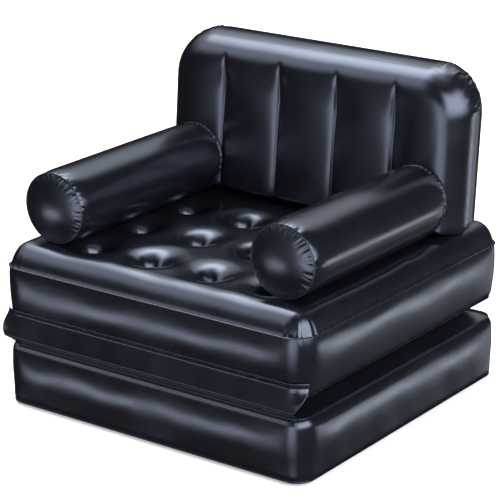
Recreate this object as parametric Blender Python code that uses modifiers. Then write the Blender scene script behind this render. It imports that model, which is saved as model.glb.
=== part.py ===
"""Inflatable armchair whose lower mattress folds out to make a single bed.

The chair is welded from thin PVC film. A seat mattress lies on a base mattress of the same
plan, and a film web along the front edge hinges the two together. Each mattress is a top
sheet, a side band and a bottom sheet, held to its thickness by hourglass film tubes, the coil
beams. The seat carries a channelled backrest and two round arms. Metres, +Z up, front at -Y,
with the origin at the middle of the footprint on the floor.
"""
import math

import bmesh
import bpy
from mathutils import Vector

# Film and welds
film = 0.0008
weld_gap = 0.0003
flange_width = 0.004
merge_distance = 0.00002

# Plan of both mattresses
layer_width = 0.970
layer_depth = 0.955
layer_corner_radius = 0.058
corner_steps = 5

# Side section of the mattresses: the roll at the fold plane, at the floor and at the seat seam
fold_roll_depth = 0.055
floor_roll_depth = 0.030
section_power_share = 2.6
side_rows = 4
hidden_seam_inset = 0.022
floor_seam_inset = 0.014

# Base mattress
base_height = 0.200
base_widest_height = 0.105

# Seat mattress, heights above the floor
seat_widest_height = 0.305
seat_seam_height = 0.3876
seat_seam_inset = 0.010
seat_crown_rise = 0.0571
seat_shoulder_width = 0.055
shoulder_inset_shares = (0.0, 0.10, 0.42, 1.0)

# Dimples of the seat, over the coil beams
beam_column_pitch = 0.1867
beam_row_pitch = 0.200
beam_columns = 4
seat_beam_rows = 3
base_beam_rows = 4
seat_first_row_setback = 0.1575
dimple_depth = 0.048
dimple_radius = 0.0930
dimple_floor_share = 0.45
dimple_floor_line = 0.0300
dimple_slope_line = 0.0625
beam_radius = 0.028
beam_waist_radius = 0.021
beam_sides = 8

# Backrest, a slab that leans back on the seat
backrest_side_setback = 0.015
backrest_top = 0.886
backrest_rear_setback = 0.1505
backrest_lean_share = 0.08
backrest_half_thickness = 0.090
backrest_roll_width = 0.075
backrest_foot_roll_width = 0.030
backrest_top_radius = 0.125
backrest_foot_radius = 0.035
backrest_seam_inset = 0.008
backrest_top_steps = 6
backrest_foot_steps = 3
backrest_roll_shares = (0.0, 0.12, 0.45, 1.0)
backrest_row_shares = (0.0, 0.35, 0.70, 1.0)
gusset_half_width = 0.042
groove_inner_place = 0.092
groove_outer_place = 0.275
groove_depth = 0.020
rear_groove_depth = 0.008
groove_flank_width = 0.020
groove_flank_share = 0.30
groove_full_height = 0.800
groove_end_height = 0.835
web_end_setback = 0.020

# Arms, round tubes that lie along the seat's sides
arm_side_setback = 0.125
arm_axis_rise = 0.0968
arm_radius = 0.098
arm_seam_radius = 0.091
arm_front_setback = 0.0875
arm_end_run = 0.022
arm_disc_dome = 0.012
arm_sides = 24
arm_shoulder_share = 0.75
disc_radius_shares = (0.96, 0.80, 0.45, 0.0)
disc_height_shares = (0.12, 0.50, 0.86, 1.0)

# Hinge web along the front
web_upper_height = 0.262
web_lower_height = 0.170
web_weld_width = 0.010
web_crease_height = 0.201
web_crease_reach = 0.0100
web_belly_height = 0.232
web_belly_reach = 0.0075
web_hem_height = 0.186
web_hem_reach = 0.0060
web_corner_steps = 2
fold_axis_reach = 0.001

# Air valves in the rear of each mattress
valve_side_place = 0.300
valve_hole_radius = 0.0140
valve_neck_radius = 0.0135
valve_bore_radius = 0.0095
valve_flange_radius = 0.0230
valve_flange_thickness = 0.0012
valve_flange_setback = 0.0011
valve_seat_radius = 0.0070
valve_seat_thickness = 0.0012
valve_seat_setback = 0.0090
valve_neck_inner = 0.0180
valve_neck_outer = 0.0073
valve_collar_radius = 0.0190
valve_collar_thickness = 0.0012
valve_sides = 20
cap_radius = 0.0160
cap_thickness = 0.0024
plug_radius = 0.0086
plug_depth = 0.0030
cap_ear_half_width = 0.0040
cap_ear_reach = 0.0215
cap_ear_thickness = 0.0014
strap_lug_end = 0.0235
flap_radius = 0.0082
flap_thickness = 0.0008

# Display size of the marks at the joints
pivot_mark_size = 0.040

seat_middle_height = seat_seam_height + seat_crown_rise
cap_middle = valve_neck_outer + weld_gap + cap_thickness / 2
front_edge = -layer_depth / 2
rear_edge = layer_depth / 2
seat_first_row = front_edge + seat_first_row_setback
base_first_row = -beam_row_pitch * (base_beam_rows - 1) / 2
dimple_line_places = (-dimple_slope_line, -dimple_floor_line, dimple_floor_line, dimple_slope_line)
backrest_half_width = layer_width / 2 - backrest_side_setback
backrest_middle_y = rear_edge - backrest_rear_setback
groove_places = (-groove_outer_place, -groove_inner_place, groove_inner_place, groove_outer_place)
arm_side_place = layer_width / 2 - arm_side_setback
arm_axis_height = seat_middle_height + arm_axis_rise
arm_front = front_edge + arm_front_setback
fold_axis_y = front_edge - fold_axis_reach


def empty_scene():
    for item in list(bpy.data.objects):
        bpy.data.objects.remove(item, do_unlink=True)


def collection_named(name, hidden=False):
    group = bpy.data.collections.new(name)
    bpy.context.scene.collection.children.link(group)
    group.hide_render = hidden
    return group


def pvc(name, colour, roughness):
    material = bpy.data.materials.new(name)
    material.use_nodes = True
    shader = material.node_tree.nodes["Principled BSDF"]
    shader.inputs["Base Color"].default_value = (*colour, 1.0)
    shader.inputs["Roughness"].default_value = roughness
    shader.inputs["Metallic"].default_value = 0.0
    material.diffuse_color = (*colour, 1.0)
    return material


def pivot(name, place, parent=None):
    """An empty on a joint's axis, or at a sub-assembly's seat."""
    marker = bpy.data.objects.new(name, None)
    marker.empty_display_size = pivot_mark_size
    parts.objects.link(marker)
    marker.location = place
    if parent:
        marker.parent = parent
        marker.location = Vector(place) - parent.matrix_world.translation
    bpy.context.view_layer.update()
    return marker


def add_object(name, mesh, material, parent, place=(0.0, 0.0, 0.0)):
    """An object whose origin stands at a world place, under its parent."""
    part = bpy.data.objects.new(name, mesh)
    parts.objects.link(part)
    if material and not mesh.materials:
        mesh.materials.append(material)
    part.location = Vector(place)
    if parent:
        part.parent = parent
        part.location = Vector(place) - parent.matrix_world.translation
    return part


def grid_mesh(name, columns, rows, point):
    """A grid of columns by rows faces, each corner placed by point(column, row)."""
    reach = layer_width / 2
    shape = bmesh.new()
    bmesh.ops.create_grid(shape, x_segments=columns, y_segments=rows, size=reach)
    for vert in shape.verts:
        column = round((vert.co.x + reach) / layer_width * columns)
        row = round((vert.co.y + reach) / layer_width * rows)
        vert.co = Vector(point(column, row))
    bmesh.ops.remove_doubles(shape, verts=shape.verts, dist=merge_distance)
    mesh = bpy.data.meshes.new(name)
    shape.to_mesh(mesh)
    shape.free()
    mesh.shade_smooth()
    mesh.set_sharp_from_angle(angle=math.radians(50))
    return mesh


def ring_mesh(name, rings):
    """A surface through closed rings of points. A ring may shrink to one point."""
    count = len(rings[0])
    return grid_mesh(name, count, len(rings) - 1, lambda column, row: rings[row][column % count])


def film_part(name, mesh, material, parent, place=(0.0, 0.0, 0.0)):
    """A film sheet: the mesh is its outer face, and the film's thickness lies inside."""
    part = add_object(name, mesh, material, parent, place)
    skin = part.modifiers.new("film", "SOLIDIFY")
    skin.thickness = film
    skin.offset = -1.0
    skin.use_even_offset = True
    return part


def rounded_outline(half_x, half_y, radii, steps):
    """Points round a rectangle with round corners, anticlockwise from the low right corner.

    radii and steps are those of the low corners and of the high corners.
    """
    points = []
    corners = ((1, -1, 270), (1, 1, 0), (-1, 1, 90), (-1, -1, 180))
    for side_x, side_y, start in corners:
        radius = radii[0] if side_y < 0 else radii[1]
        count = steps[0] if side_y < 0 else steps[1]
        for step in range(count + 1):
            angle = math.radians(start + 90.0 * step / count)
            x = side_x * (half_x - radius) + radius * math.cos(angle)
            y = side_y * (half_y - radius) + radius * math.sin(angle)
            points.append((x, y))
    return points


def layer_ring(inset, height):
    half_x = layer_width / 2 - inset
    half_y = layer_depth / 2 - inset
    radii = (layer_corner_radius, layer_corner_radius)
    outline = rounded_outline(half_x, half_y, radii, (corner_steps, corner_steps))
    return [(x, y, height) for x, y in outline]


def roll_angle(inset, depth):
    """The angle at which a roll of that depth has come in by inset."""
    return math.acos((1.0 - inset / depth) ** (section_power_share / 2.0))


def roll_point(angle, depth, rise):
    """Inset and height above the widest line, on a side that rolls in over a full rise."""
    inset = depth * (1.0 - math.cos(angle) ** (2.0 / section_power_share))
    return inset, rise * math.sin(angle) ** (2.0 / section_power_share)


def half_section(start, end, depth, rise, rows):
    """Points (inset, height above the widest line) from one angle to another."""
    return [roll_point(start + (end - start) * row / rows, depth, rise) for row in range(rows + 1)]


def side_inset(height, widest, low, high):
    """How far in a mattress side lies at a height, for what is welded onto it."""
    depth, rise, _ = high if height > widest else low
    share = min(1.0, abs(height - widest) / rise)
    return depth * (1.0 - (1.0 - share ** section_power_share) ** (1.0 / section_power_share))


def seam_rise(seam_height, widest, inset, depth):
    """The full rise of a roll that passes through a seam."""
    angle = roll_angle(inset, depth)
    return (seam_height - widest) / math.sin(angle) ** (2.0 / section_power_share)


def seat_rolls():
    """The low and high rolls of the seat's side band, each (depth, rise, seam inset)."""
    lower_rise = seat_widest_height - base_height - weld_gap / 2
    upper_rise = seam_rise(seat_seam_height, seat_widest_height, seat_seam_inset, fold_roll_depth)
    low = (fold_roll_depth, lower_rise, hidden_seam_inset)
    return low, (fold_roll_depth, upper_rise, seat_seam_inset)


def base_rolls():
    """The low and high rolls of the base's side band, each (depth, rise, seam inset)."""
    upper_rise = base_height - weld_gap / 2 - base_widest_height
    low = (floor_roll_depth, base_widest_height, floor_seam_inset)
    return low, (fold_roll_depth, upper_rise, hidden_seam_inset)


def band_rings(widest, low, high):
    """Rings of a side band. low and high are (depth, rise, seam inset) of its two rolls."""
    low_end = roll_angle(low[2], low[0])
    high_end = roll_angle(high[2], high[0])
    lower = half_section(low_end, 0.0, low[0], low[1], side_rows)
    upper = half_section(0.0, high_end, high[0], high[1], side_rows)
    section = [(inset, widest - rise) for inset, rise in lower]
    section += [(inset, widest + rise) for inset, rise in upper[1:]]
    lip = film + weld_gap / 2
    low_inset, low_height = section[0]
    high_inset, high_height = section[-1]
    section[0] = (low_inset, low_height + lip)
    section[-1] = (high_inset, high_height - lip)
    section.insert(0, (low_inset - flange_width, low_height + lip))
    section.append((high_inset - flange_width, high_height - lip))
    return [layer_ring(inset, height) for inset, height in section]


def roll_sheet_rings(plane, widest, roll, facing):
    """Rings of a flat sheet with rolled edges, from its flange to its middle.

    roll is the band's roll that it carries on, and facing is 1 up or -1 down.
    """
    depth, rise, seam_inset = roll
    start = roll_angle(seam_inset, depth)
    section = half_section(start, math.pi / 2, depth, facing * rise, side_rows - 1)
    lip = facing * (film + weld_gap / 2)
    points = [(inset, widest + height) for inset, height in section]
    points[-1] = (points[-1][0], plane)
    seam_height = points[0][1] + lip
    points[0] = (points[0][0], seam_height)
    points.insert(0, (seam_inset - flange_width, seam_height))
    rings = [layer_ring(inset, height) for inset, height in points]
    rings.append([(0.0, 0.0, plane)] * len(rings[0]))
    return rings


def beam_places(rows, first_row):
    """Columns and rows of the coil beams of one mattress, numbered from the front left."""
    places = []
    for row in range(rows):
        for column in range(beam_columns):
            x = (column - (beam_columns - 1) / 2) * beam_column_pitch
            places.append((row + 1, column + 1, x, first_row + row * beam_row_pitch))
    return places


def dimple(x, y):
    """Depth of the seat's dimples at a place."""
    depth = 0.0
    for _, _, beam_x, beam_y in beam_places(seat_beam_rows, seat_first_row):
        share = math.hypot(x - beam_x, y - beam_y) / dimple_radius
        if share < 1.0:
            slope = max(0.0, share - dimple_floor_share) / (1.0 - dimple_floor_share)
            depth = max(depth, dimple_depth * math.cos(slope * math.pi / 2) ** 2)
    return depth


def round_corner(x, y, half_x, half_y, radius):
    """Moves a point of a square-cornered grid onto the round-cornered plan."""
    beyond_x = abs(x) - (half_x - radius)
    beyond_y = abs(y) - (half_y - radius)
    if beyond_x <= 0.0 or beyond_y <= 0.0:
        return x, y, min(half_x - abs(x), half_y - abs(y))
    reach = max(beyond_x, beyond_y)
    length = math.hypot(beyond_x, beyond_y)
    new_x = half_x - radius + reach * beyond_x / length
    new_y = half_y - radius + reach * beyond_y / length
    return math.copysign(new_x, x), math.copysign(new_y, y), radius - reach


def seat_top_sheet(material, parent):
    half_x = layer_width / 2 - seat_seam_inset
    half_y = layer_depth / 2 - seat_seam_inset
    lip = film + weld_gap / 2
    edges = [seat_shoulder_width * share for share in shoulder_inset_shares]

    def lines(half, centres):
        inner = [centre + place for centre in centres for place in dimple_line_places]
        low = [-half - flange_width] + [-half + inset for inset in edges]
        high = [half - inset for inset in reversed(edges)] + [half + flange_width]
        return low + inner + high

    columns = sorted({x for _, _, x, _ in beam_places(1, seat_first_row)})
    rows = sorted({y for _, _, _, y in beam_places(seat_beam_rows, seat_first_row)})
    xs = sorted(lines(half_x, columns))
    ys = sorted(lines(half_y, rows))

    def point(column, row):
        x, y, inset = round_corner(xs[column], ys[row], half_x, half_y, layer_corner_radius)
        share = min(1.0, max(0.0, inset) / seat_shoulder_width)
        rise = (seat_crown_rise - lip) * math.sqrt(1.0 - (1.0 - share) ** 2)
        return x, y, seat_seam_height + lip + rise - dimple(x, y)

    mesh = grid_mesh("seat_top_sheet", len(xs) - 1, len(ys) - 1, point)
    return film_part("seat_top_sheet", mesh, material, parent)


def coil_beam(name, mesh_name, foot, head, material, parent, place):
    """An hourglass tube of film, open at both ends, that holds two sheets together."""
    mesh = bpy.data.meshes.get(mesh_name)
    if mesh is None:
        half = (head - foot) / 2
        rings = []
        for share, radius in ((-1.0, beam_radius), (0.0, beam_waist_radius), (1.0, beam_radius)):
            turns = [2.0 * math.pi * side / beam_sides for side in range(beam_sides)]
            rings.append([(radius * math.cos(t), radius * math.sin(t), half * share) for t in turns])
        mesh = ring_mesh(mesh_name, rings)
    x, y = place
    return film_part(name, mesh, material, parent, (x, y, (foot + head) / 2))


def lean(height):
    """The backrest's middle plane at a height."""
    return backrest_middle_y - backrest_lean_share * (backrest_top - height)


def groove(x, height, depth):
    """Depth of the channels' grooves in a backrest sheet."""
    away = min(abs(x - place) for place in groove_places)
    if away < groove_flank_width / 2:
        across = 1.0
    elif away < groove_flank_width * 1.5:
        across = groove_flank_share
    else:
        across = 0.0
    fade = (groove_end_height - height) / (groove_end_height - groove_full_height)
    return depth * across * min(1.0, max(0.0, fade))


backrest_foot = seat_middle_height + weld_gap
backrest_centre = (backrest_foot + backrest_top) / 2
backrest_half_height = (backrest_top - backrest_foot) / 2


def backrest_columns():
    """Grid lines across the backrest: flange, edge roll, then each groove and channel."""
    seam = backrest_half_width - backrest_seam_inset
    places = {seam + flange_width, -seam - flange_width}
    for share in backrest_roll_shares:
        places.update((seam - backrest_roll_width * share, backrest_roll_width * share - seam))
    for centre in groove_places:
        places.update((centre - groove_flank_width, centre, centre + groove_flank_width))
    for left, right in zip(groove_places, groove_places[1:]):
        places.add((left + right) / 2)
    return sorted(places)


def backrest_rows():
    """Grid lines up the backrest, from the foot flange to the top flange."""
    foot = backrest_foot + backrest_seam_inset
    top = backrest_top - backrest_seam_inset
    full = foot + backrest_foot_roll_width
    rows = [foot - flange_width, foot, (foot + full) / 2]
    rows += [full + (groove_full_height - full) * share for share in backrest_row_shares]
    rows += [groove_end_height]
    rows += [top - backrest_roll_width * share for share in reversed(backrest_roll_shares[:-1])]
    return rows + [top + flange_width]


def edge_share(x, up, inset, half_x, half_z, radius):
    """How far a point lies up the edge roll, from 0 at the seam to 1 on the flat face."""
    from_side = (half_x - abs(x)) / backrest_roll_width
    from_top = (half_z - up) / backrest_roll_width
    from_foot = (half_z + up) / backrest_foot_roll_width
    shares = [1.0, from_side, from_top, from_foot]
    if abs(x) > half_x - radius and abs(up) > half_z - radius:
        sideways = abs(x) - (half_x - radius)
        along = sideways / math.hypot(sideways, abs(up) - (half_z - radius))
        end_roll = backrest_roll_width if up > 0.0 else backrest_foot_roll_width
        shares.append(inset / (end_roll + (backrest_roll_width - end_roll) * along ** 2))
    return max(0.0, min(shares))


def backrest_sheet(name, facing, depth, material, parent):
    """The front sheet (facing -1) or the back sheet (facing 1), with its channels."""
    columns = backrest_columns()[::-facing]
    rows = backrest_rows()
    half_x = backrest_half_width - backrest_seam_inset
    half_z = backrest_half_height - backrest_seam_inset
    flange = gusset_half_width + film + weld_gap / 2

    def point(column, row):
        up = rows[row] - backrest_centre
        radius = backrest_top_radius if up > 0.0 else backrest_foot_radius
        radius -= backrest_seam_inset
        x, up, inset = round_corner(columns[column], up, half_x, half_z, radius)
        share = edge_share(x, up, inset, half_x, half_z, radius)
        roll = math.sqrt(1.0 - (1.0 - share) ** 2)
        bulge = flange + (backrest_half_thickness - flange) * roll
        bulge -= groove(x, rows[row], depth) * roll
        height = up + backrest_centre
        return x, lean(height) + facing * bulge, height

    mesh = grid_mesh(name, len(columns) - 1, len(rows) - 1, point)
    return film_part(name, mesh, material, parent)


def backrest_ring(inset, depth_place):
    """A ring round the backrest, its depth measured from the middle plane."""
    half_x = backrest_half_width - inset
    half_z = backrest_half_height - inset
    radii = (backrest_foot_radius - inset, backrest_top_radius - inset)
    outline = rounded_outline(half_x, half_z, radii, (backrest_foot_steps, backrest_top_steps))
    ring = []
    for x, up in outline:
        height = up + backrest_centre
        ring.append((x, lean(height) + depth_place, height))
    return ring


def backrest_gusset(material, parent):
    """The band that joins the backrest's two sheets, all round."""
    edge = gusset_half_width - film - weld_gap / 2
    out = backrest_seam_inset - flange_width
    rings = [backrest_ring(out, edge), backrest_ring(backrest_seam_inset, edge)]
    rings += [backrest_ring(0.0, place) for place in (edge / 2, -edge / 2)]
    rings += [backrest_ring(backrest_seam_inset, -edge), backrest_ring(out, -edge)]
    return film_part("backrest_gusset", ring_mesh("backrest_gusset", rings), material, parent)


def backrest_web(number, place, material, parent):
    """An upright film strip that ties a front groove to the back sheet."""
    low = backrest_foot + backrest_seam_inset + backrest_foot_roll_width + web_end_setback
    high = groove_full_height - web_end_setback
    inner = film + weld_gap * 2
    front = groove_depth - backrest_half_thickness + inner
    back = backrest_half_thickness - rear_groove_depth - inner
    name = f"backrest_web_{number}"
    mesh = bpy.data.meshes.new(name)
    shape = bmesh.new()
    bmesh.ops.create_cube(shape, size=film)
    for vert in shape.verts:
        height = high if vert.co.z > 0.0 else low
        depth_place = back if vert.co.y > 0.0 else front
        side = math.copysign(film / 2, vert.co.x)
        vert.co = Vector((side, lean(height) + depth_place, height))
    shape.to_mesh(mesh)
    shape.free()
    return add_object(name, mesh, material, parent, (place, 0.0, 0.0))


def arm_ring(radius, y_at):
    """A ring of an arm about its axis, flat where it lies on the seat."""
    lowest = seat_middle_height + weld_gap
    ring = []
    for side in range(arm_sides):
        angle = 2.0 * math.pi * side / arm_sides
        height = max(lowest, arm_axis_height + radius * math.sin(angle))
        ring.append((radius * math.cos(angle), y_at(height), height))
    return ring


def arm_rear(height):
    """Where an arm meets the backrest's channels."""
    return lean(height) - backrest_half_thickness - weld_gap


def arm(side_name, side, material, parent):
    """One arm: the tube's skin and the two discs that close it."""
    lip = film + weld_gap / 2
    centre = (side * arm_side_place, 0.0, 0.0)
    flange_radius = arm_seam_radius + flange_width
    shoulder_radius = arm_seam_radius + (arm_radius - arm_seam_radius) * arm_shoulder_share

    def behind(distance):
        return lambda height: arm_rear(height) - distance

    def ahead(place):
        return lambda height: place

    rings = [
        arm_ring(flange_radius, behind(lip + film)),
        arm_ring(arm_seam_radius, behind(lip + film)),
        arm_ring(shoulder_radius, behind(arm_end_run / 2)),
        arm_ring(arm_radius, behind(arm_end_run * 2)),
        arm_ring(arm_radius, ahead(arm_front + arm_end_run * 2)),
        arm_ring(shoulder_radius, ahead(arm_front + arm_end_run / 2)),
        arm_ring(arm_seam_radius, ahead(arm_front + lip)),
        arm_ring(flange_radius, ahead(arm_front + lip)),
    ]
    name = f"arm_skin_{side_name}"
    skin = film_part(name, ring_mesh(name, rings), material, parent, centre)

    front_rings = [arm_ring(flange_radius, ahead(arm_front - lip))]
    for radius_share, height_share in zip(disc_radius_shares, disc_height_shares):
        place = arm_front - lip - arm_disc_dome * height_share
        front_rings.append(arm_ring(arm_seam_radius * radius_share, ahead(place)))
    name = f"arm_front_disc_{side_name}"
    front_disc = film_part(name, ring_mesh(name, front_rings), material, parent, centre)

    rear_rings = [arm_ring(0.0, behind(0.0)), arm_ring(flange_radius, behind(0.0))]
    name = f"arm_rear_disc_{side_name}"
    rear_disc = film_part(name, ring_mesh(name, rear_rings), material, parent, centre)
    return skin, front_disc, rear_disc


def hinge_web(material, parent):
    """The film strip along the front that hinges the base mattress to the seat mattress."""
    on_film = film + weld_gap

    def on_seat(height):
        return side_inset(height, seat_widest_height, *seat_rolls()) - on_film, height

    def on_base(height):
        return side_inset(height, base_widest_height, *base_rolls()) - on_film, height

    section = [
        on_base(web_lower_height - web_weld_width),
        on_base(web_lower_height),
        (-web_hem_reach, web_hem_height),
        (-web_crease_reach, web_crease_height),
        (-web_belly_reach, web_belly_height),
        on_seat(web_upper_height),
        on_seat(web_upper_height + web_weld_width),
    ]

    def point(column, row):
        inset, height = section[row]
        ring = layer_ring(inset, height)
        left = ring[-1 - web_corner_steps:]
        right = ring[:1 + web_corner_steps]
        return (left + right)[column]

    mesh = grid_mesh("hinge_web", 2 * web_corner_steps + 1, len(section) - 1, point)
    return film_part("hinge_web", mesh, material, parent)


def turned(name, profile, material, parent, place):
    """A solid turned about the Y axis, from (radius, distance along +Y) points."""
    rings = []
    for radius, along in profile:
        turns = [2.0 * math.pi * side / valve_sides for side in range(valve_sides)]
        rings.append([(radius * math.cos(t), along, radius * math.sin(t)) for t in turns])
    return add_object(name, ring_mesh(name, rings), material, parent, place)


def valve_place(height):
    return valve_side_place, rear_edge, height


def boolean(part, other, operation, name):
    """Joins a helper shape to a part, or cuts the part with it."""
    for group in other.users_collection:
        group.objects.unlink(other)
    cutters.objects.link(other)
    other.hide_render = True
    other.display_type = "WIRE"
    step = part.modifiers.new(name, "BOOLEAN")
    step.operation = operation
    step.object = other


def cut_valve_hole(band, name, height):
    """Opens a mattress band for its valve's neck."""
    bpy.ops.mesh.primitive_cylinder_add(
        vertices=valve_sides, radius=valve_hole_radius, depth=valve_flange_radius * 2,
        location=valve_place(height), rotation=(math.pi / 2, 0.0, 0.0))
    cutter = bpy.context.active_object
    cutter.name = name
    boolean(band, cutter, "DIFFERENCE", "valve_hole")


def block(name, low, high, place, parent):
    """A helper box between two corners measured from a place."""
    mesh = bpy.data.meshes.new(name)
    shape = bmesh.new()
    bmesh.ops.create_cube(shape, size=film)
    for vert in shape.verts:
        vert.co = Vector([high[i] if vert.co[i] > 0.0 else low[i] for i in range(3)])
    shape.to_mesh(mesh)
    shape.free()
    return add_object(name, mesh, None, parent, place)


def valve_body(layer, place, material, parent):
    """The neck through the band, held by a flange inside and a collar outside."""
    flange_outer = -film - weld_gap - valve_flange_setback
    flange_inner = flange_outer - valve_flange_thickness
    collar_outer = weld_gap + valve_collar_thickness
    seat_outer = -valve_seat_setback
    seat_inner = seat_outer - valve_seat_thickness
    profile = [
        (valve_bore_radius, valve_neck_outer),
        (valve_neck_radius, valve_neck_outer),
        (valve_neck_radius, collar_outer),
        (valve_collar_radius, collar_outer),
        (valve_collar_radius, weld_gap),
        (valve_neck_radius, weld_gap),
        (valve_neck_radius, flange_outer),
        (valve_flange_radius, flange_outer),
        (valve_flange_radius, flange_inner),
        (valve_neck_radius, flange_inner),
        (valve_neck_radius, -valve_neck_inner),
        (valve_bore_radius, -valve_neck_inner),
        (valve_bore_radius, seat_inner),
        (valve_seat_radius, seat_inner),
        (valve_seat_radius, seat_outer),
        (valve_bore_radius, seat_outer),
        (valve_bore_radius, valve_neck_outer),
    ]
    body = turned(f"{layer}_valve_body", profile, material, parent, place)
    lug_foot = weld_gap + valve_collar_thickness / 2
    lug_top = cap_middle - cap_ear_thickness / 2 - weld_gap
    low = (-cap_ear_half_width, lug_foot, cap_radius + weld_gap)
    high = (cap_ear_half_width, lug_top, strap_lug_end)
    boolean(body, block(f"{layer}_strap_lug", low, high, place, parent), "UNION", "strap_lug")


def valve_cap(layer, place, material, parent):
    """The cap with its plug, hinged at the end of its ear."""
    x, y, z = place
    hinge = pivot(f"{layer}_cap_hinge", (x, y + cap_middle, z + cap_ear_reach), parent)
    profile = [
        (0.0, cap_middle + cap_thickness / 2),
        (cap_radius, cap_middle + cap_thickness / 2),
        (cap_radius, cap_middle - cap_thickness / 2),
        (plug_radius, cap_middle - cap_thickness / 2),
        (plug_radius, valve_neck_outer - plug_depth),
        (0.0, valve_neck_outer - plug_depth),
    ]
    cap = turned(f"{layer}_valve_cap", profile, material, hinge, place)
    low = (-cap_ear_half_width, cap_middle - cap_ear_thickness / 2, 0.0)
    high = (cap_ear_half_width, cap_middle + cap_ear_thickness / 2, cap_ear_reach)
    boolean(cap, block(f"{layer}_cap_ear", low, high, place, hinge), "UNION", "ear")


def valve_flap(layer, place, material, parent):
    """The flap behind the valve's seat, hinged at its top, which air pressure holds shut."""
    x, y, z = place
    flap_outer = -valve_seat_setback - valve_seat_thickness - weld_gap
    hinge = pivot(f"{layer}_flap_hinge", (x, y + flap_outer, z + flap_radius), parent)
    profile = [
        (0.0, flap_outer),
        (flap_radius, flap_outer),
        (flap_radius, flap_outer - flap_thickness),
        (0.0, flap_outer - flap_thickness),
    ]
    turned(f"{layer}_valve_flap", profile, material, hinge, place)


def valve(layer, height, material, parent):
    """A non-return valve: body, outer cap and inner flap."""
    place = valve_place(height)
    valve_body(layer, place, material, parent)
    valve_cap(layer, place, material, parent)
    valve_flap(layer, place, material, parent)


def build_seat(material, valve_material, parent):
    seat_top_sheet(material, parent)
    low, high = seat_rolls()
    rings = band_rings(seat_widest_height, low, high)
    band = film_part("seat_side_band", ring_mesh("seat_side_band", rings), material, parent)
    cut_valve_hole(band, "seat_valve_cutter", seat_widest_height)

    plane = base_height + weld_gap / 2
    rings = roll_sheet_rings(plane, seat_widest_height, low, -1.0)
    film_part("seat_bottom_sheet", ring_mesh("seat_bottom_sheet", rings[::-1]), material, parent)

    foot = plane + film + weld_gap
    head = seat_middle_height - dimple_depth - film - weld_gap
    for row, column, x, y in beam_places(seat_beam_rows, seat_first_row):
        coil_beam(f"seat_coil_beam_{row}_{column}", "seat_coil_beam", foot, head, material, parent, (x, y))
    valve("seat", seat_widest_height, valve_material, parent)


def build_base(material, valve_material, parent):
    low, high = base_rolls()
    rings = band_rings(base_widest_height, low, high)
    band = film_part("base_side_band", ring_mesh("base_side_band", rings), material, parent)
    cut_valve_hole(band, "base_valve_cutter", base_widest_height)

    plane = base_height - weld_gap / 2
    rings = roll_sheet_rings(plane, base_widest_height, high, 1.0)
    film_part("base_top_sheet", ring_mesh("base_top_sheet", rings), material, parent)
    rings = roll_sheet_rings(0.0, base_widest_height, low, -1.0)
    film_part("base_bottom_sheet", ring_mesh("base_bottom_sheet", rings[::-1]), material, parent)

    foot = film + weld_gap
    head = plane - film - weld_gap
    for row, column, x, y in beam_places(base_beam_rows, base_first_row):
        coil_beam(f"base_coil_beam_{row}_{column}", "base_coil_beam", foot, head, material, parent, (x, y))
    valve("base", base_widest_height, valve_material, parent)


def build_backrest(material, web_material, parent):
    backrest_sheet("backrest_front_sheet", -1, groove_depth, material, parent)
    backrest_sheet("backrest_back_sheet", 1, rear_groove_depth, material, parent)
    backrest_gusset(material, parent)
    for number, place in enumerate(groove_places, start=1):
        backrest_web(number, place, web_material, parent)


empty_scene()
parts = collection_named("inflatable_chair")
cutters = collection_named("cutters", hidden=True)

outer_film = pvc("black_pvc_film", (0.012, 0.012, 0.015), 0.28)
inner_film = pvc("black_pvc_inner_film", (0.020, 0.020, 0.022), 0.45)
valve_plastic = pvc("black_valve_plastic", (0.025, 0.025, 0.027), 0.40)

chair = pivot("chair", (0.0, 0.0, base_height))
base = pivot("base_fold_axis", (0.0, fold_axis_y, base_height), chair)
build_seat(outer_film, valve_plastic, chair)
build_backrest(outer_film, inner_film, chair)
for arm_name, arm_side in (("left", -1.0), ("right", 1.0)):
    arm(arm_name, arm_side, outer_film, chair)
hinge_web(outer_film, chair)
build_base(outer_film, valve_plastic, base)
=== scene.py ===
# %% [markdown]
# An inflatable armchair in glossy black film. Its lower mattress folds out in front and makes
# a bed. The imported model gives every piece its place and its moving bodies. This lesson dresses
# it with fine film skins, pinched welds, small pleats and a studio.

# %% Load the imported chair
import math

import bmesh
import bpy
import numpy as np
from mathutils import Matrix, Vector


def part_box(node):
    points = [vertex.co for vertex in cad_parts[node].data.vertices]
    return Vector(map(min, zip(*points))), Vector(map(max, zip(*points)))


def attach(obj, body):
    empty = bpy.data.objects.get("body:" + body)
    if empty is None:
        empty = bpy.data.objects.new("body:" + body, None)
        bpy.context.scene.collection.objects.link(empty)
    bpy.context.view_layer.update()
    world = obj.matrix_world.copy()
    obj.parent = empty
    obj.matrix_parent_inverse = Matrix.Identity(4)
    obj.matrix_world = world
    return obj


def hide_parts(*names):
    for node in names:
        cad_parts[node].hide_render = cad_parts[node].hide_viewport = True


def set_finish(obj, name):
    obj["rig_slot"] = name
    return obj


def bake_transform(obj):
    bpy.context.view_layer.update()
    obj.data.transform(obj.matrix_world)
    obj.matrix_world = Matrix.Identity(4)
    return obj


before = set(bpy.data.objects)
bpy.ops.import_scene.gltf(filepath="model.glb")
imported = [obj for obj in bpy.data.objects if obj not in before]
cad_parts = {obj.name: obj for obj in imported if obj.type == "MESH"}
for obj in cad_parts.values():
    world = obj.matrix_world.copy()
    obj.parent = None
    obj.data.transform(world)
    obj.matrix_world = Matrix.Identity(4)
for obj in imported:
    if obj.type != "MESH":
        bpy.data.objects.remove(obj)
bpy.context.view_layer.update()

# %% [markdown]
# The camera comes first, so that every later step can be judged against the same view. It looks
# from the front right and a little above, through a long lens, as for a catalogue picture.

# %% Camera
camera_place = (3.2165, -4.4779, 2.2591)
camera_azimuth, camera_drop = math.radians(35.847), math.radians(18.701)
lens_length = 158.44

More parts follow.
